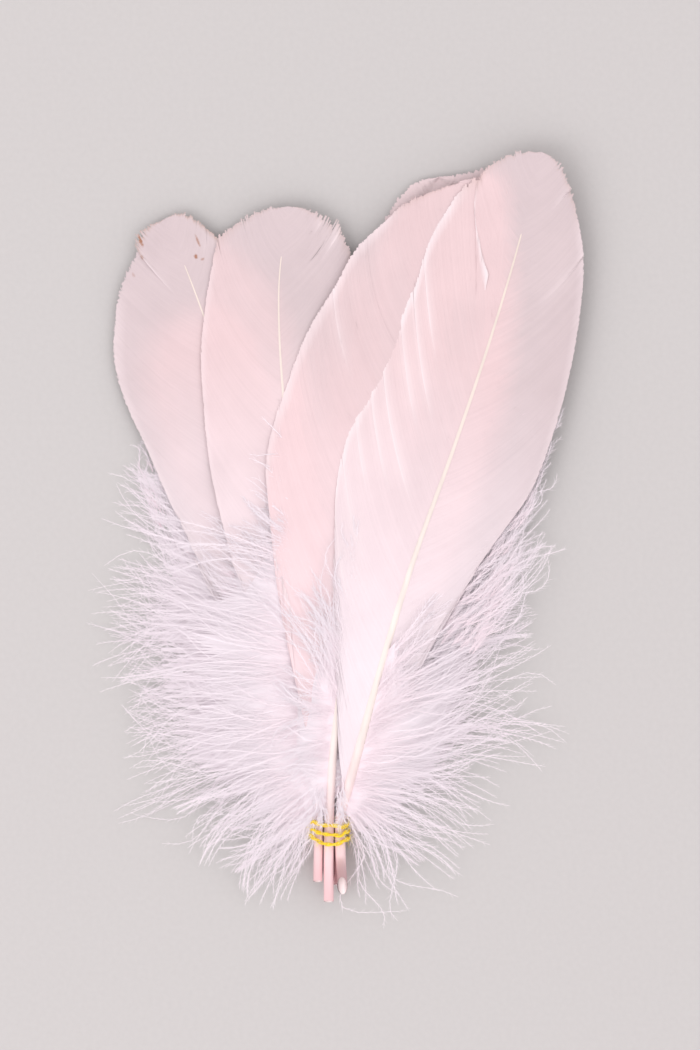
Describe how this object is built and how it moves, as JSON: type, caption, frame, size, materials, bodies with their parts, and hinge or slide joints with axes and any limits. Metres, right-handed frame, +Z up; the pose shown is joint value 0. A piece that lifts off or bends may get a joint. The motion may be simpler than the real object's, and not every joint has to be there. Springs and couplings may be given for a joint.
{
  "type": "tied bunch of goose feathers",
  "caption": "Flat bunch of pale pink dyed goose feathers with fluffy downy bases, their quill ends bound together by a wound yellow thread tie.",
  "frame": {"origin": "bottom centre of the bunch's box, on the surface that the bunch lies on", "axes": "+Y from the quill ends towards the feather tips, +X to the right seen from above, +Z up from the surface"},
  "size_m": [0.1046, 0.1648, 0.0116],
  "materials": {
    "pink_feather": "satin",
    "yellow_thread": "satin"
  },
  "bodies": {
    "root": {"front_feather": "pink_feather", "second_feather": "pink_feather", "tucked_feather": "pink_feather", "left_feather": "pink_feather", "creased_feather": "pink_feather", "bottom_feather": "pink_feather", "yellow_tie": "yellow_thread"}
  },
  "joints": []
}
